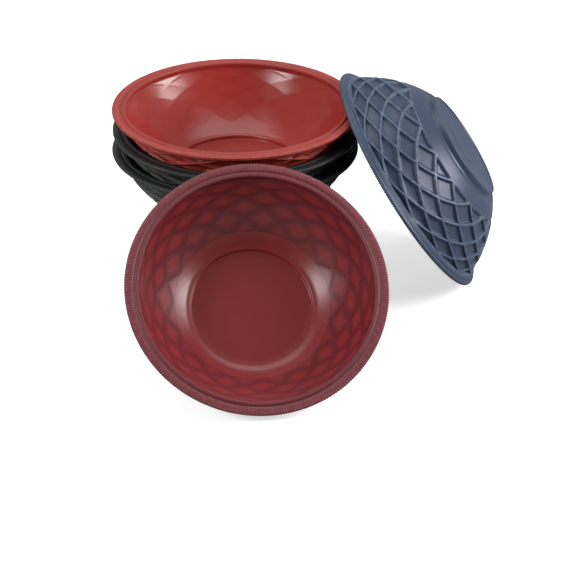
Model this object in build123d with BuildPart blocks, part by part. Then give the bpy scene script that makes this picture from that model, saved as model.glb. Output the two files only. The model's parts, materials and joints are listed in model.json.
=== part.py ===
"""Set of nesting snack bowls, each moulded in one piece with a raised diamond lattice outside.

Three bowls are nested upright on a fourth that stands upside down, a fifth is tipped back
against the stack and a sixth leans on the top rim. Millimetres, +Z up, table at z = 0.
"""
import os
from math import acos, asin, cos, pi, radians, sin

from build123d import *

# Bowl
RIM_RADIUS = 120.5
DEPTH = 68.5
RIB_SPHERE = 124.0
SPHERE_LIFT = 45.0
RIB_HEIGHT = 2.6
RIB_WIDTH = 2.8
WALL = 3.2

# Lattice: columns round the bowl and rings of crossings from the lip down to the foot
COLUMNS = 15
RING_STEPS = 8
TOP_RING = 60.5
POCKET_OVERCUT = 2.0

# Foot: a low disc set back under the end of the wall, hollow below, and the round step inside
WALL_FOOT = 58.6
FOOT_RADIUS = 55.2
FOOT_TAPER = 0.6
FOOT_EDGE = 0.7
FOOT_RING = 3.3
SOLE_HOLLOW = 1.2
FLOOR_TOP = 6.6
STEP_RADIUS = 57.0

# Lip: a broad outer band, a groove and a narrow bead at the mouth
BAND_WIDTH = 7.9
BAND_HEIGHT = 4.0
BAND_EDGE = 1.1
GROOVE_WIDTH = 1.8
GROOVE_DEPTH = 1.5
BEAD_TOP_DROP = 0.6
MOUTH_RADIUS = 106.8
BEAD_HEIGHT = 2.3
UNDER_STEP = 3.7
UNDER_HEIGHT = 2.0

# Arrangement
NEST_PITCH = 20.6
FOOT_GAP = 0.1
STACK_SHIFT = 15.0
NEST_LEAN = 1.4
NEST_NOD = 0.6
TIPPED_ELEVATION = 46.4
TIPPED_TURN = 8.5
TIPPED_ASIDE = 24.2
TIPPED_FORWARD = 212.3
LEANING_TILT = 34.0
LEANING_TURN = 0.8
LEANING_BASE = 235.1
LEANING_FRONT = 2.0
LEANING_SPIN = 7.3

CENTRE_Z = DEPTH + SPHERE_LIFT
INNER_SPHERE = RIB_SPHERE - RIB_HEIGHT - WALL
HALF_COLUMN = pi / COLUMNS


def on_sphere(radius, polar):
    """Section point (distance from the axis, height) at a polar angle from straight down."""
    return radius * sin(polar), CENTRE_Z - radius * cos(polar)


def arc_points(radius, low, high):
    """Start, middle and end of a wall arc between two polar angles."""
    return on_sphere(radius, low), on_sphere(radius, (low + high) / 2), on_sphere(radius, high)


# Polar angles where the walls end
foot_polar = asin(WALL_FOOT / RIB_SPHERE)
lip_polar = acos((CENTRE_Z - TOP_RING) / RIB_SPHERE)
step_polar = asin(STEP_RADIUS / INNER_SPHERE)
mouth_polar = acos((SPHERE_LIFT + BEAD_TOP_DROP + BEAD_HEIGHT) / INNER_SPHERE)

foot_root, outer_middle, lip_root = arc_points(RIB_SPHERE, foot_polar, lip_polar)
step_top, inner_middle, mouth_root = arc_points(INNER_SPHERE, step_polar, mouth_polar)


def foot_outline():
    """Section of the foot from the axis to the outer wall."""
    foot_outer = FOOT_RADIUS - FOOT_TAPER
    ring_inner = foot_outer - FOOT_EDGE - FOOT_RING
    return [
        (0, SOLE_HOLLOW),
        (ring_inner - SOLE_HOLLOW, SOLE_HOLLOW),
        (ring_inner, 0),
        (foot_outer - FOOT_EDGE, 0),
        (foot_outer, FOOT_EDGE),
        (FOOT_RADIUS, foot_root[1]),
        foot_root,
    ]


def lip_outline():
    """Section of the lip from the outer wall over the band, groove and bead to the mouth."""
    band_low = DEPTH - BAND_HEIGHT
    band_inner = RIM_RADIUS - BAND_WIDTH
    bead_top = DEPTH - BEAD_TOP_DROP
    groove_inner = band_inner - GROOVE_WIDTH
    return [
        lip_root,
        (RIM_RADIUS - UNDER_STEP, band_low - UNDER_HEIGHT),
        (RIM_RADIUS - UNDER_STEP, band_low - BAND_EDGE),
        (RIM_RADIUS, band_low),
        (RIM_RADIUS, DEPTH - BAND_EDGE),
        (RIM_RADIUS - BAND_EDGE, DEPTH),
        (band_inner, DEPTH),
        (band_inner - GROOVE_WIDTH / 2, DEPTH - GROOVE_DEPTH),
        (groove_inner, bead_top),
        (MOUTH_RADIUS + BEAD_TOP_DROP, bead_top),
        (MOUTH_RADIUS, bead_top - BEAD_TOP_DROP),
        mouth_root,
    ]


def ring_polar(ring):
    """Polar angle of a ring of lattice crossings, counted down from the lip in equal heights."""
    height = TOP_RING + (foot_root[1] - TOP_RING) * ring / RING_STEPS
    return acos((CENTRE_Z - height) / RIB_SPHERE)


def cell_corners(ring):
    """Corners of the lattice cell centred on a ring, flattened on the cell's own plane."""
    polar = ring_polar(ring)
    side = RIB_SPHERE * sin(polar) * sin(HALF_COLUMN)
    sag = RIB_SPHERE * sin(polar) * cos(polar) * (cos(HALF_COLUMN) - 1)
    corners = [(side, sag), (-side, sag)]
    if ring > 0:
        corners.insert(1, (0, RIB_SPHERE * sin(ring_polar(ring - 1) - polar)))
    if ring < RING_STEPS:
        corners.append((0, -RIB_SPHERE * sin(polar - ring_polar(ring + 1))))
    return corners


def cell_plane(ring, column):
    """Plane of a cell's floor, square to the wall, with y towards the lip."""
    polar = ring_polar(ring)
    azimuth = (2 * column + 1 + ring % 2) * HALF_COLUMN
    normal = Vector(sin(polar) * cos(azimuth), sin(polar) * sin(azimuth), -cos(polar))
    floor = Vector(0, 0, CENTRE_Z) + normal * (RIB_SPHERE - RIB_HEIGHT)
    return Plane(origin=floor, x_dir=(-sin(azimuth), cos(azimuth), 0), z_dir=normal)


# One bowl in its own frame, foot down
with BuildPart() as bowl:
    with BuildSketch(Plane.XZ):
        with BuildLine():
            Polyline(*foot_outline())
            ThreePointArc(foot_root, outer_middle, lip_root)
            Polyline(*lip_outline())
            ThreePointArc(mouth_root, inner_middle, step_top)
            Polyline(step_top, (STEP_RADIUS, FLOOR_TOP), (0, FLOOR_TOP), (0, SOLE_HOLLOW))
        make_face()
    revolve(axis=Axis.Z)
    # Lattice pockets, ring by ring: half cells along the lip and the foot, diamonds between
    for ring in range(RING_STEPS + 1):
        with BuildSketch(*[cell_plane(ring, column) for column in range(COLUMNS)]):
            Polygon(*cell_corners(ring), align=None)
            offset(amount=-RIB_WIDTH / 2, kind=Kind.INTERSECTION)
        extrude(amount=RIB_HEIGHT + POCKET_OVERCUT, mode=Mode.SUBTRACT)


def rim_pose(rim_centre, opening, spin=0):
    """Location of a bowl with its rim centre at a point and its mouth facing a direction."""
    downhill = opening * opening.Z - Vector(0, 0, 1)
    x_dir = downhill if downhill.length > 0.1 else Vector(1, 0, 0)
    rim_plane = Plane(origin=rim_centre, x_dir=x_dir, z_dir=opening)
    return rim_plane.location * Location((0, 0, -DEPTH), (0, 0, spin))


def nested_pose(level):
    """Location of an upright bowl in the stack, leaning about the centre of its own sphere."""
    lean, nod = (radians(NEST_LEAN), radians(NEST_NOD)) if level else (0, 0)
    opening = Vector(-sin(lean), -sin(nod), 1).normalized()
    foot = DEPTH + FOOT_GAP + level * NEST_PITCH
    sphere_centre = Vector(-STACK_SHIFT, 0, foot + CENTRE_Z)
    return rim_pose(sphere_centre - opening * SPHERE_LIFT, opening)


def tipped_pose():
    """Location of the bowl that rests on its wall, tipped back against the stack."""
    elevation = radians(TIPPED_ELEVATION)
    turn = radians(TIPPED_TURN)
    opening = Vector(sin(turn) * cos(elevation), -cos(turn) * cos(elevation), sin(elevation))
    rim_height = RIB_SPHERE - SPHERE_LIFT * opening.Z
    return rim_pose(Vector(TIPPED_ASIDE - STACK_SHIFT, -TIPPED_FORWARD, rim_height), opening)


def leaning_pose():
    """Location of the bowl that stands on its rim, mouth down, against the top of the stack."""
    tilt = radians(LEANING_TILT)
    across = Vector(-cos(radians(LEANING_TURN)), sin(radians(LEANING_TURN)), 0)
    opening = across * cos(tilt) - Vector(0, 0, sin(tilt))
    uphill = across * sin(tilt) + Vector(0, 0, cos(tilt))
    lip_corner = BAND_EDGE * sin(tilt)
    touching_point = Vector(LEANING_BASE - STACK_SHIFT, -LEANING_FRONT, -lip_corner)
    return rim_pose(touching_point + uphill * RIM_RADIUS, opening, LEANING_SPIN)


poses = {
    "base_bowl_inverted": rim_pose(Vector(0, 0, 0), Vector(0, 0, -1)),
    "bowl_charcoal_lower": nested_pose(0),
    "bowl_charcoal_upper": nested_pose(1),
    "bowl_red": nested_pose(2),
    "bowl_burgundy_tipped": tipped_pose(),
    "bowl_blue_leaning": leaning_pose(),
}

# The origin is on the table, under the middle of the whole set
spread = Compound(children=[bowl.part.moved(pose) for pose in poses.values()]).bounding_box()
to_middle = Location((-spread.center().X, -spread.center().Y, 0))

os.makedirs("parts", exist_ok=True)
for name, pose in poses.items():
    with BuildPart() as piece:
        add(bowl.part.moved(to_middle * pose))
    piece.part.label = name
    export_step(piece.part, f"parts/{name}.step")
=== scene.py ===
"""Nesting snack bowls with a raised diamond lattice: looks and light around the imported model."""
import json
import math

import bmesh
import bpy
import numpy as np
from mathutils import Matrix, Vector


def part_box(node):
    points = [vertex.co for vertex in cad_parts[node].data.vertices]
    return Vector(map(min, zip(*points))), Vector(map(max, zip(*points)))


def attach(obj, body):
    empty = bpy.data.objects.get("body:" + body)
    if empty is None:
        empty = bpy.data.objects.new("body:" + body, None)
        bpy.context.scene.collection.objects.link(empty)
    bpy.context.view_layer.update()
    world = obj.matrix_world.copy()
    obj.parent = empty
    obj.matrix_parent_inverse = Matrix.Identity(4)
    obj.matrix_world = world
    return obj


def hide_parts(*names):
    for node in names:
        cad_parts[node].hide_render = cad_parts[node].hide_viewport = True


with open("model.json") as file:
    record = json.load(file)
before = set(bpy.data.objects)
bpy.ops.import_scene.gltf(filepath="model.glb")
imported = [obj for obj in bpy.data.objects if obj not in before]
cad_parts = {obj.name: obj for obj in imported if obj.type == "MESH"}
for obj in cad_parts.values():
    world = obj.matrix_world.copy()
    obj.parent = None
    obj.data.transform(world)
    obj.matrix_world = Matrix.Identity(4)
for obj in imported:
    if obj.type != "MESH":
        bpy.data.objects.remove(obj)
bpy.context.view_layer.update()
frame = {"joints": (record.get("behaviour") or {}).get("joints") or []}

MM = 0.001

# Bowl sizes in millimetres, in the bowl's own frame: foot down, axis along z
RIM_RADIUS = 120.5
DEPTH = 68.5
RIB_SPHERE = 124.0
SPHERE_LIFT = 45.0
CENTRE_Z = DEPTH + SPHERE_LIFT
WALL = 3.0
FULL_TURN = 2 * math.pi

# Lattice: columns round the bowl, rings of crossings from the lip down, and depth of the cells
COLUMNS = 15
HALF_COLUMN = math.pi / COLUMNS
RING_STEPS = 6
RING_CROWDING = 0.2
TOP_RING = 60.6
LOW_RING = 14.8
FLOOR_DROP = 2.0
INSIDE_FLATNESS = 0.3

# Lip: mouth, edge of the CAD band, where the ridged band and bead begin and fade in, and the share of painted
# highlight on the ridged band
MOUTH_RADIUS = 106.8
BAND_EDGE = 1.1
BAND_INNER = 112.9
BAND_INNER_FADE = 1.2
BAND_LOW = 64.4
BEAD_OUTER = 111.2
BEAD_LOW = 66.0
RIDGE_FADE = 0.8
LIP_ROUNDING = 0.9
BAND_PAINTED_HIGHLIGHT = 0.6

# Plain band below the lattice, foot and floor
BAND_END = 61.8
BAND_STEPS = 5
BAND_SUPPORT = math.radians(0.2)
STEP_RADIUS = 57.0
STEP_DROP = 1.4
FLOOR_TOP = 6.6
CAP_RADIUS = 6.0
FOOT_ROUNDING = 0.8

# Longest share of a section's straight leg that a rounded corner may take
CORNER_SHARE = 0.45

# Stations across a lattice cell, and the flat top and the foot of a rib, as shares of the cell
RIB_STATIONS = (0.0, 0.05, 0.07, 0.09, 0.115, 0.18, 0.26, 0.34, 0.42, 0.5)
FACET_STATIONS = (0.0, 0.06, 0.14, 0.3, 0.5)
RIB_FLAT = 0.05
RIB_FOOT = 0.115
INSIDE_RIB_FOOT = 0.3
END_RIB_FLAT = 0.07
END_RIB_FOOT = 0.16

# Fine ridges round the lip, and their height in millimetres on the band and on the bead
RIDGES = 300
RIDGE_WAVE = (0.0, 0.75, 1.0, 0.75)
RIDGE_HEIGHT = 0.5
BEAD_RIDGE_HEIGHT = 0.3

# Which way the two upper nested bowls lean, and the leaning bowl's turn about its own axis
NEST_LEAN = math.radians(1.4)
NEST_NOD = math.radians(0.6)
LEANING_SPIN = math.radians(-2.5)

# Camera: metres from the middle of the stack's base, degrees below level, millimetres of lens
CAMERA_FROM_BASE = (0.0366, -1.9501, 1.0087)
CAMERA_PITCH = 27.86
CAMERA_LENS = 136.2
CAMERA_SENSOR = 36.0
CAMERA_REACH = 50.0

# Plastic: extra roughness outside, moulding grain, and how light scatters in it
OUTSIDE_MATT = 0.16
GRAIN_STRENGTH = 0.12
GRAIN_DEPTH = 0.0003
PLASTIC_IOR = 1.5
SCATTER_COLOUR = (1.0, 0.22, 0.18)
SCATTER_DEPTH = 0.009

# Strength of the white surroundings in front of the set and behind it
WORLD_FRONT = 0.14
WORLD_BACK = 0.5
WORLD_REACH = 0.9

# Studio floor: metres across, tone to the camera and to other rays, and glow to the camera
FLOOR_SIZE = 9.0
FLOOR_GAP = 0.0005
FLOOR_SEEN = 0.86
FLOOR_BOUNCE = 0.36
FLOOR_GLOW = 0.62

# Point that the side lights face, and the one under the top light
SET_MIDDLE = (0.0, 0.05, 0.12)
SET_LOW_MIDDLE = (0.0, 0.05, 0.1)


def ease(value):
    """Smooth step of an array from 0 to 1."""
    value = np.clip(value, 0.0, 1.0)
    return value * value * (3.0 - 2.0 * value)


def ring_polar(ring):
    """Polar angle from straight down of a lattice ring, counted from the lip, closer together there."""
    share = ring / RING_STEPS
    height = TOP_RING + (LOW_RING - TOP_RING) * share * (1.0 + RING_CROWDING * (share - 1.0))
    return np.arccos((CENTRE_Z - height) / RIB_SPHERE)


def on_sphere(radius, polar, azimuth):
    """Points on a sphere round the bowl's centre, as an array of x, y, z."""
    across = radius * np.sin(polar)
    height = CENTRE_Z - radius * np.cos(polar)
    return np.stack([across * np.cos(azimuth), across * np.sin(azimuth), height], -1)


class BowlMesh:
    """Vertices, faces and a mask per vertex, gathered piece by piece."""

    def __init__(self):
        self.points = []
        self.faces = []
        self.masks = []
        self.count = 0

    def add(self, points, mask):
        """Vertices with their masks; returns their numbers."""
        start = self.count
        self.points.append(points)
        self.masks.append(mask)
        self.count += len(points)
        return np.arange(start, self.count)

    def band(self, lower, upper):
        """Quads between two rings with the same stations."""
        for k in range(len(lower)):
            n = (k + 1) % len(lower)
            self.faces.append((lower[k], lower[n], upper[n], upper[k]))

    def zipper(self, ring_a, angles_a, ring_b, angles_b):
        """Triangles between two rings whose stations differ."""
        a = b = 0
        angles_a = np.append(angles_a, angles_a[0] + FULL_TURN)
        angles_b = np.append(angles_b, angles_b[0] + FULL_TURN)
        while a < len(ring_a) or b < len(ring_b):
            here_a = ring_a[a % len(ring_a)]
            here_b = ring_b[b % len(ring_b)]
            step_a = b == len(ring_b) or (a < len(ring_a) and angles_a[a + 1] <= angles_b[b + 1])
            if step_a:
                a += 1
                self.faces.append((here_a, ring_a[a % len(ring_a)], here_b))
            else:
                b += 1
                self.faces.append((here_a, ring_b[b % len(ring_b)], here_b))


def flat_cell(ring, turn, along, across, radius):
    """Flat floor of a cell, drawn between its corners; a triangle in the end rings."""
    corners = [
        on_sphere(radius, ring_polar(min(max(ring + up, 0), RING_STEPS)), (turn + 1 + aside) * HALF_COLUMN)
        for up, aside in ((0, -1), (1, 0), (-1, 0), (0, 1))
    ]
    a, b = along[..., None], across[..., None]
    if ring == 0:
        return (1 - a) * corners[0] + b * corners[3] + (a - b) * corners[1]
    if ring == RING_STEPS:
        return (1 - b) * corners[0] + a * corners[3] + (b - a) * corners[2]
    return (
        (1 - a) * (1 - b) * corners[0] + a * (1 - b) * corners[1]
        + (1 - a) * b * corners[2] + a * b * corners[3]
    )


def rib_mask(along, across, whole, inside):
    """Share of the full rib height over a cell: 1 on its edges, 0 on its floor."""
    near = np.minimum(np.minimum(along, 1 - along), np.minimum(across, 1 - across))
    rib_foot = INSIDE_RIB_FOOT if inside else RIB_FOOT
    rib = 1.0 - ease((near - RIB_FLAT) / (rib_foot - RIB_FLAT))
    if whole:
        return rib
    end = np.abs(along - across)
    return np.maximum(rib, 1.0 - ease((end - END_RIB_FLAT) / (END_RIB_FOOT - END_RIB_FLAT)))


def lattice_wall(mesh, inside):
    """Wall between the lip and the plain band, in lattice cells: ribs and flat floors, or soft facets inside.

    Returns the vertex rings along its upper and lower ends with their azimuths.
    """
    half = np.array(FACET_STATIONS if inside else RIB_STATIONS)
    stations = np.concatenate([half, 1.0 - half[-2::-1]])
    steps = len(stations) - 1
    along, across = np.meshgrid(stations, stations, indexing="ij")
    keys = {}
    rows = []
    masks = []
    edges = {0: {}, RING_STEPS: {}}
    local_faces = []
    floor_radius = RIB_SPHERE - FLOOR_DROP - (WALL if inside else 0.0)
    for ring in range(RING_STEPS + 1):
        for column in range(COLUMNS):
            turn = 2 * column + ring % 2
            first = (turn + ring) // 2
            second = (turn - ring) // 2
            polar = ring_polar(ring + along - across)
            azimuth = (turn + along + across) * HALF_COLUMN
            whole = 0 < ring < RING_STEPS
            flat = flat_cell(ring, turn, along, across, floor_radius)
            rib = rib_mask(along, across, whole, inside)
            if inside:
                round_floor = on_sphere(floor_radius, polar, azimuth)
                place = round_floor + (flat - round_floor) * (INSIDE_FLATNESS if whole else 0.0)
            else:
                crest = on_sphere(RIB_SPHERE, polar, azimuth)
                place = flat + (crest - flat) * rib[..., None]
            numbers = np.zeros((steps + 1, steps + 1), int)
            for i in range(steps + 1):
                for j in range(steps + 1):
                    if (ring == 0 and i < j) or (ring == RING_STEPS and i > j):
                        continue
                    p = first * steps + i
                    q = second * steps + j
                    wrap = (p + q) // (2 * COLUMNS * steps)
                    key = (p - wrap * COLUMNS * steps, q - wrap * COLUMNS * steps)
                    if key not in keys:
                        keys[key] = len(rows)
                        rows.append(place[i, j])
                        masks.append(rib[i, j])
                    numbers[i, j] = keys[key]
                    if i == j and ring in edges:
                        angle = azimuth[i, j] % FULL_TURN
                        if not math.isclose(angle, FULL_TURN):
                            edges[ring][keys[key]] = angle
            for i in range(steps):
                for j in range(steps):
                    a0, a1 = numbers[i, j], numbers[i + 1, j]
                    b0, b1 = numbers[i, j + 1], numbers[i + 1, j + 1]
                    if whole or (ring == 0 and i > j) or (ring == RING_STEPS and i < j):
                        local_faces.append((a0, a1, b1, b0))
                    elif i == j and ring == 0:
                        local_faces.append((a0, a1, b1))
                    elif i == j:
                        local_faces.append((a0, b1, b0))
    numbers = mesh.add(np.array(rows), np.array(masks))
    mesh.faces.extend(tuple(numbers[v] for v in face) for face in local_faces)
    rings = []
    for ring in (0, RING_STEPS):
        order = sorted(edges[ring].items(), key=lambda item: item[1])
        rings.append((numbers[[v for v, angle in order]], np.array([angle for v, angle in order])))
    return rings


def rounded(points, radius, steps=3):
    """Section line with each inner corner turned into a short arc of about a radius."""
    line = [np.array(points[0], float)]
    for before, corner, after in zip(points, points[1:], points[2:]):
        corner = np.array(corner, float)
        to_before = np.array(before, float) - corner
        to_after = np.array(after, float) - corner
        reach_before = min(radius, CORNER_SHARE * np.linalg.norm(to_before))
        reach_after = min(radius, CORNER_SHARE * np.linalg.norm(to_after))
        start = corner + to_before / np.linalg.norm(to_before) * reach_before
        end = corner + to_after / np.linalg.norm(to_after) * reach_after
        for t in np.linspace(0, 1, steps):
            line.append((1 - t) ** 2 * start + 2 * t * (1 - t) * corner + t**2 * end)
    line.append(np.array(points[-1], float))
    return line


def turned_ring(mesh, point, angles, swell=0.0, mask=0.0):
    """One ring of a turned section, with an optional swell of its radius and height."""
    radius = point[0] + swell
    x = radius * np.cos(angles)
    y = radius * np.sin(angles)
    z = np.full_like(angles, point[1]) + swell
    return mesh.add(np.stack([x, y, z], -1), np.full(len(angles), mask))


def lip(mesh, outer_ring, outer_angles, inner_ring, inner_angles):
    """Rolled lip with fine ridges on its broad band, between the outer and the inner wall."""
    section = rounded([
        (114.2, 61.4), (116.8, 62.4), (117.0, 63.5), (119.7, 64.5), (119.7, 67.4), (113.0, 67.9),
        (111.7, 66.8), (110.6, 67.9), (107.4, 67.9), (MOUTH_RADIUS, 66.6), (107.2, 64.6),
    ], LIP_ROUNDING)
    stations = RIDGES * len(RIDGE_WAVE)
    angles = np.arange(stations) * (FULL_TURN / stations)
    wave = np.tile(np.array(RIDGE_WAVE), RIDGES)
    rings = []
    for radius, height in section:
        on_band = ease((radius - BAND_INNER) / BAND_INNER_FADE) * ease((height - BAND_LOW) / RIDGE_FADE)
        on_bead = ease((BEAD_OUTER - radius) / RIDGE_FADE) * ease((height - BEAD_LOW) / RIDGE_FADE)
        swell = (RIDGE_HEIGHT * on_band + BEAD_RIDGE_HEIGHT * on_bead) * wave
        # The ridged band's mask carries its share of painted highlight, a lighter colour standing in for
        # light on the band
        rings.append(turned_ring(mesh, (radius, height), angles, swell, BAND_PAINTED_HIGHLIGHT * on_band))
    mesh.zipper(outer_ring, outer_angles, rings[0], angles)
    for lower, upper in zip(rings, rings[1:]):
        mesh.band(lower, upper)
    mesh.zipper(rings[-1], angles, inner_ring, inner_angles)


def plain_band(radius):
    """Section points of the plain wall between the lattice and the foot, without its upper end."""
    high = ring_polar(RING_STEPS)
    low = math.asin(BAND_END / radius)
    polars = [high - BAND_SUPPORT, *np.linspace(high, low, BAND_STEPS + 1)[1:]]
    return [(radius * math.sin(polar), CENTRE_Z - radius * math.cos(polar)) for polar in polars]


def turned_end(mesh, ring, angles, section):
    """Turned surface from a ring along a section towards the axis, closed by a flat cap."""
    for point in section:
        next_ring = turned_ring(mesh, point, angles)
        mesh.band(ring, next_ring)
        ring = next_ring
    mesh.faces.append(tuple(ring))


def foot(mesh, outer_ring, angles):
    """Plain band, groove and foot with a hollow underside and one plain raised circle on it."""
    section = plain_band(RIB_SPHERE) + rounded([
        (61.0, 6.3), (60.0, 7.2), (57.4, 7.0), (55.6, 5.0), (54.3, 0.05), (50.8, 0.05), (50.0, 1.2),
        (24.2, 1.2), (23.6, 0.8), (22.6, 0.8), (22.0, 1.2), (CAP_RADIUS, 1.2),
    ], FOOT_ROUNDING)
    turned_end(mesh, outer_ring, angles, section)


def floor(mesh, inner_ring, angles):
    """Plain band, round step and flat floor inside the bowl."""
    band = plain_band(RIB_SPHERE - FLOOR_DROP - WALL)
    step_top = band[-1][1] - STEP_DROP
    section = band + rounded([
        (STEP_RADIUS + 2.4, step_top + 0.5), (STEP_RADIUS, step_top), (STEP_RADIUS - 0.4, FLOOR_TOP),
        (48.0, FLOOR_TOP), (CAP_RADIUS, FLOOR_TOP),
    ], FOOT_ROUNDING)
    turned_end(mesh, inner_ring, angles, section)


def bowl_mesh():
    """The whole bowl as arrays: points in millimetres, faces, rib mask and inside mask."""
    mesh = BowlMesh()
    (lip_outer, lip_angles), (foot_outer, foot_angles) = lattice_wall(mesh, inside=False)
    outside_count = mesh.count
    (lip_inner, inner_angles), (foot_inner, floor_angles) = lattice_wall(mesh, inside=True)
    inside_count = mesh.count
    lip(mesh, lip_outer, lip_angles, lip_inner, inner_angles)
    foot(mesh, foot_outer, foot_angles)
    floor_start = mesh.count
    floor(mesh, foot_inner, floor_angles)
    points = np.concatenate(mesh.points)
    inner = np.zeros(len(points))
    inner[outside_count:inside_count] = 1.0
    inner[floor_start:] = 1.0
    return points, mesh.faces, np.concatenate(mesh.masks), inner


def rim_matrix(node, opening, spin):
    """Place of a bowl whose mouth faces a direction, read from its node's box."""
    low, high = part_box(node)
    centre = Vector()
    for axis in range(3):
        slope = math.sqrt(max(0.0, 1.0 - opening[axis] ** 2))
        top_edge = (RIM_RADIUS - BAND_EDGE) * slope
        outer_edge = RIM_RADIUS * slope - BAND_EDGE * abs(opening[axis])
        reach = max(top_edge, outer_edge) * MM
        centre[axis] = high[axis] - reach if opening[axis] > 0 else low[axis] + reach
    downhill = opening * opening.z - Vector((0, 0, 1))
    x_axis = downhill.normalized() if downhill.length > 0.1 else Vector((1, 0, 0))
    y_axis = opening.cross(x_axis)
    turn = Matrix((x_axis, y_axis, opening)).transposed().to_4x4() @ Matrix.Rotation(spin, 4, "Z")
    return Matrix.Translation(centre) @ turn @ Matrix.Translation((0, 0, -DEPTH * MM))


def joint_axis(name):
    """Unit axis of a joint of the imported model."""
    joint = next(j for j in frame["joints"] if j["name"] == name)
    return Vector(joint["axis"]).normalized()


def place_bowl(name, node, body, matrix, material, bowl):
    """One bowl as its own mesh, set in place, riding on its body instead of the plain solid."""
    points, faces, rib, inner = bowl
    data = bpy.data.meshes.new(name)
    placed = points * MM @ np.array(matrix.to_3x3()).T + np.array(matrix.translation)
    data.from_pydata(placed.tolist(), [], faces)
    for label, values in (("rib", rib), ("inside", inner)):
        layer = data.attributes.new(label, "FLOAT", "POINT")
        layer.data.foreach_set("value", values.astype(np.float32))
    work = bmesh.new()
    work.from_mesh(data)
    bmesh.ops.recalc_face_normals(work, faces=work.faces)
    work.to_mesh(data)
    work.free()
    data.shade_smooth()
    data.materials.append(material)
    piece = bpy.data.objects.new(name, data)
    bpy.context.scene.collection.objects.link(piece)
    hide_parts(node)
    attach(piece, body)


def socket(group, name, direction, kind, value=None):
    """Named socket on a node group."""
    made = group.interface.new_socket(name=name, in_out=direction, socket_type=kind)
    if value is not None:
        made.default_value = value


def moulded_surface_group():
    """Tone, roughness and fine grain of a moulded plastic wall, with a painted highlight on the outer ribs
    and lip band and a painted glow on the thin cells inside.
    """
    group = bpy.data.node_groups.new("moulded_surface", "ShaderNodeTree")
    socket(group, "Base", "INPUT", "NodeSocketColor")
    socket(group, "Shade", "INPUT", "NodeSocketColor")
    socket(group, "Painted highlight", "INPUT", "NodeSocketColor")
    socket(group, "Painted glow", "INPUT", "NodeSocketColor")
    socket(group, "Painted highlight amount", "INPUT", "NodeSocketFloat", 0.4)
    socket(group, "Painted glow amount", "INPUT", "NodeSocketFloat", 0.0)
    socket(group, "Roughness", "INPUT", "NodeSocketFloat", 0.35)
    socket(group, "Color", "OUTPUT", "NodeSocketColor")
    socket(group, "Roughness", "OUTPUT", "NodeSocketFloat")
    socket(group, "Grain", "OUTPUT", "NodeSocketFloat")
    nodes, links = group.nodes, group.links
    entry = nodes.new("NodeGroupInput")
    result = nodes.new("NodeGroupOutput")
    place = nodes.new("ShaderNodeTexCoord")
    rib = nodes.new("ShaderNodeAttribute")
    rib.attribute_name = "rib"
    inside = nodes.new("ShaderNodeAttribute")
    inside.attribute_name = "inside"

    def noise(scale, detail):
        node = nodes.new("ShaderNodeTexNoise")
        node.inputs["Scale"].default_value = scale
        node.inputs["Detail"].default_value = detail
        links.new(place.outputs["Object"], node.inputs["Vector"])
        return node.outputs["Fac"]

    def math_node(operation, first, second):
        node = nodes.new("ShaderNodeMath")
        node.operation = operation
        for slot, value in zip(node.inputs, (first, second)):
            if hasattr(value, "is_linked"):
                links.new(value, slot)
            else:
                slot.default_value = value
        return node.outputs[0]

    def mix(factor, first, second):
        node = nodes.new("ShaderNodeMix")
        node.data_type = "RGBA"
        links.new(factor, node.inputs["Factor"])
        links.new(first, node.inputs[6])
        links.new(second, node.inputs[7])
        return node.outputs[2]

    def span(value, low, high, to_low, to_high):
        node = nodes.new("ShaderNodeMapRange")
        links.new(value, node.inputs["Value"])
        settings = zip(("From Min", "From Max", "To Min", "To Max"), (low, high, to_low, to_high))
        for name, number in settings:
            node.inputs[name].default_value = number
        return node.outputs["Result"]

    clouds = span(noise(16.0, 0.0), 0.3, 0.7, 0.0, 0.35)
    tone = mix(clouds, entry.outputs["Base"], entry.outputs["Shade"])
    # Painted highlight: a lighter colour in patches on the outer ribs and lip band, standing in for light
    # catching the crests
    highlight_patches = span(noise(260.0, 4.0), 0.42, 0.68, 0.25, 1.0)
    outer_rib = math_node("MULTIPLY", rib.outputs["Fac"], math_node("SUBTRACT", 1.0, inside.outputs["Fac"]))
    painted_highlight = math_node("MULTIPLY", math_node("MULTIPLY", outer_rib, highlight_patches), entry.outputs["Painted highlight amount"])
    tone = mix(painted_highlight, tone, entry.outputs["Painted highlight"])
    # Painted glow: the thin cell floors inside are lightened towards a glow colour, standing in for light
    # shining through the wall
    painted_glow_mask = math_node("MULTIPLY", math_node("SUBTRACT", 1.0, rib.outputs["Fac"]), inside.outputs["Fac"])
    painted_glow = math_node("MULTIPLY", painted_glow_mask, entry.outputs["Painted glow amount"])
    tone = mix(painted_glow, tone, entry.outputs["Painted glow"])
    links.new(tone, result.inputs["Color"])
    uneven = span(noise(40.0, 0.0), 0.2, 0.8, -0.02, 0.02)
    matt = math_node("ADD", span(inside.outputs["Fac"], 0.0, 1.0, OUTSIDE_MATT, 0.0), uneven)
    links.new(math_node("ADD", entry.outputs["Roughness"], matt), result.inputs["Roughness"])
    links.new(noise(300.0, 1.0), result.inputs["Grain"])
    return group


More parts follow.
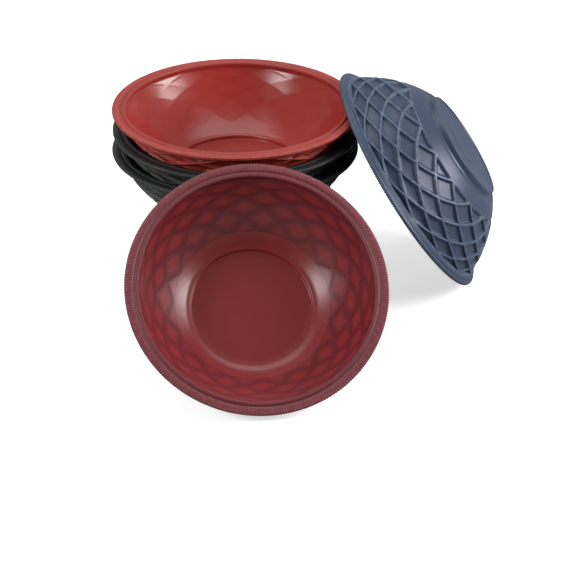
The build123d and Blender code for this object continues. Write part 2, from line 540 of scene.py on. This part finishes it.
def moulded_plastic(name, group, base, shade, painted_highlight, painted_glow, amounts, roughness, translucency):
    """Satin moulded plastic in one of the set's colours."""
    material = bpy.data.materials.new(name)
    material.use_nodes = True
    nodes, links = material.node_tree.nodes, material.node_tree.links
    shader = nodes["Principled BSDF"]
    surface = nodes.new("ShaderNodeGroup")
    surface.node_tree = group
    for label, colour in (("Base", base), ("Shade", shade), ("Painted highlight", painted_highlight), ("Painted glow", painted_glow)):
        surface.inputs[label].default_value = (*colour, 1.0)
    surface.inputs["Painted highlight amount"].default_value = amounts[0]
    surface.inputs["Painted glow amount"].default_value = amounts[1]
    surface.inputs["Roughness"].default_value = roughness
    bump = nodes.new("ShaderNodeBump")
    bump.inputs["Strength"].default_value = GRAIN_STRENGTH
    bump.inputs["Distance"].default_value = GRAIN_DEPTH
    links.new(surface.outputs["Grain"], bump.inputs["Height"])
    links.new(surface.outputs["Color"], shader.inputs["Base Color"])
    links.new(surface.outputs["Roughness"], shader.inputs["Roughness"])
    links.new(bump.outputs["Normal"], shader.inputs["Normal"])
    shader.inputs["IOR"].default_value = PLASTIC_IOR
    shader.inputs["Subsurface Weight"].default_value = translucency
    shader.inputs["Subsurface Radius"].default_value = SCATTER_COLOUR
    shader.inputs["Subsurface Scale"].default_value = SCATTER_DEPTH
    return material


def srgb(red, green, blue):
    """Linear colour of an sRGB colour written in 0 to 255."""
    parts = np.array((red, green, blue)) / 255.0
    linear = np.where(parts <= 0.04045, parts / 12.92, ((parts + 0.055) / 1.055) ** 2.4)
    return tuple(float(v) for v in linear)


def white_surroundings():
    """White world for the camera, dimmer in front of the set than behind it for all else."""
    world = bpy.data.worlds.new("studio_white")
    bpy.context.scene.world = world
    world.use_nodes = True
    nodes, links = world.node_tree.nodes, world.node_tree.links
    back = nodes["Background"]
    back.inputs["Color"].default_value = (1.0, 1.0, 1.0, 1.0)
    path = nodes.new("ShaderNodeLightPath")
    seen = nodes.new("ShaderNodeMath")
    seen.operation = "MAXIMUM"
    links.new(path.outputs["Is Camera Ray"], seen.inputs[0])
    links.new(path.outputs["Is Transmission Ray"], seen.inputs[1])
    direction = nodes.new("ShaderNodeTexCoord")
    split = nodes.new("ShaderNodeSeparateXYZ")
    links.new(direction.outputs["Generated"], split.inputs["Vector"])
    depth = nodes.new("ShaderNodeMapRange")
    depth.inputs["From Min"].default_value = -WORLD_REACH
    depth.inputs["From Max"].default_value = WORLD_REACH
    depth.inputs["To Min"].default_value = WORLD_FRONT
    depth.inputs["To Max"].default_value = WORLD_BACK
    links.new(split.outputs["Y"], depth.inputs["Value"])
    strength = nodes.new("ShaderNodeMapRange")
    strength.inputs["To Max"].default_value = 1.0
    links.new(seen.outputs[0], strength.inputs["Value"])
    links.new(depth.outputs["Result"], strength.inputs["To Min"])
    links.new(strength.outputs["Result"], back.inputs["Strength"])


def studio_floor():
    """Pale paper floor that keeps the shadows, brighter to the camera than to other rays."""
    bpy.ops.mesh.primitive_plane_add(size=FLOOR_SIZE, location=(0, 0, -FLOOR_GAP))
    ground = bpy.context.object
    ground.name = "studio_floor"
    paper = bpy.data.materials.new("studio_paper")
    paper.use_nodes = True
    nodes, links = paper.node_tree.nodes, paper.node_tree.links
    shader = nodes["Principled BSDF"]
    shader.inputs["Roughness"].default_value = 0.9
    shader.inputs["Specular IOR Level"].default_value = 0.1
    path = nodes.new("ShaderNodeLightPath")
    tone = nodes.new("ShaderNodeMix")
    tone.data_type = "RGBA"
    tone.inputs[6].default_value = (FLOOR_BOUNCE, FLOOR_BOUNCE, FLOOR_BOUNCE, 1.0)
    tone.inputs[7].default_value = (FLOOR_SEEN, FLOOR_SEEN, FLOOR_SEEN, 1.0)
    links.new(path.outputs["Is Camera Ray"], tone.inputs["Factor"])
    links.new(tone.outputs[2], shader.inputs["Base Color"])
    seen = nodes.new("ShaderNodeMath")
    seen.operation = "MULTIPLY"
    seen.inputs[1].default_value = FLOOR_GLOW
    links.new(path.outputs["Is Camera Ray"], seen.inputs[0])
    shader.inputs["Emission Color"].default_value = (1.0, 1.0, 1.0, 1.0)
    links.new(seen.outputs[0], shader.inputs["Emission Strength"])
    ground.data.materials.append(paper)


def soft_box(name, place, aim, size, power):
    """Rectangular light at a place in metres, facing a point."""
    light = bpy.data.lights.new(name, "AREA")
    light.shape = "RECTANGLE"
    light.size, light.size_y = size
    light.energy = power
    lamp = bpy.data.objects.new(name, light)
    bpy.context.scene.collection.objects.link(lamp)
    lamp.location = place
    lamp.rotation_euler = (Vector(aim) - Vector(place)).to_track_quat("-Z", "Y").to_euler()


def photo_camera():
    """The photograph's camera, placed from the bowl under the stack."""
    camera = bpy.data.cameras.new("photo_camera")
    camera.lens = CAMERA_LENS
    camera.sensor_width = CAMERA_SENSOR
    camera.clip_end = CAMERA_REACH
    view = bpy.data.objects.new("photo_camera", camera)
    bpy.context.scene.collection.objects.link(view)
    base_low, base_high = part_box("base_bowl_inverted")
    view.location = (base_low + base_high) / 2 + Vector(CAMERA_FROM_BASE)
    view.location.z = CAMERA_FROM_BASE[2]
    view.rotation_euler = (math.radians(90.0 - CAMERA_PITCH), 0.0, 0.0)
    bpy.context.scene.camera = view


# Plastics: base, shade, painted highlight and painted glow colours, painted highlight and painted glow
# amounts, roughness, translucency
surface = moulded_surface_group()
charcoal = moulded_plastic(
    "charcoal_plastic", surface, srgb(40, 41, 41), srgb(31, 32, 32), srgb(88, 92, 90), srgb(46, 46, 46),
    (0.4, 0.2), 0.34, 0.0,
)
red = moulded_plastic(
    "red_plastic", surface, srgb(150, 42, 35), srgb(136, 36, 30), srgb(192, 90, 78), srgb(156, 48, 41),
    (0.5, 0.3), 0.25, 0.1,
)
burgundy = moulded_plastic(
    "burgundy_plastic", surface, srgb(106, 35, 43), srgb(90, 28, 35), srgb(146, 78, 88), srgb(148, 46, 46),
    (0.5, 0.6), 0.32, 0.15,
)
blue = moulded_plastic(
    "blue_plastic", surface, srgb(46, 61, 86), srgb(36, 49, 71), srgb(104, 123, 147), srgb(52, 67, 92),
    (0.6, 0.2), 0.25, 0.1,
)

# Bowls: each faces its own way and replaces its plain solid
up = Vector((0, 0, 1))
nest_opening = Vector((-math.sin(NEST_LEAN), -math.sin(NEST_NOD), 1)).normalized()
tipped_opening = joint_axis("tipped_lift")
leaning_opening = -joint_axis("leaning_lift")
bowl = bowl_mesh()
for name, node, body, slot, opening, spin, material in (
    ("base_bowl", "base_bowl_inverted", "base", "base_charcoal", -up, 0.0, charcoal),
    ("lower_bowl", "bowl_charcoal_lower", "lower", "lower_charcoal", up, 0.0, charcoal),
    ("upper_bowl", "bowl_charcoal_upper", "upper", "upper_charcoal", nest_opening, 0.0, charcoal),
    ("red_bowl", "bowl_red", "red", "red", nest_opening, 0.0, red),
    ("tipped_bowl", "bowl_burgundy_tipped", "tipped", "burgundy", tipped_opening, 0.0, burgundy),
    ("leaning_bowl", "bowl_blue_leaning", "leaning", "blue", leaning_opening, LEANING_SPIN, blue),
):
    place_bowl(name, node, body, rim_matrix(node, opening, spin), material, bowl)

# Light and camera
bpy.context.scene.view_settings.view_transform = "Standard"
white_surroundings()
studio_floor()
soft_box("soft_box_right", (1.37, -0.16, 0.72), SET_MIDDLE, (0.8, 0.55), 21.0)
soft_box("soft_box_left", (-1.1, -0.75, 0.8), SET_MIDDLE, (0.48, 0.44), 11.0)
soft_box("soft_box_top", (0.0, 0.35, 1.7), SET_LOW_MIDDLE, (1.7, 1.2), 14.0)
photo_camera()
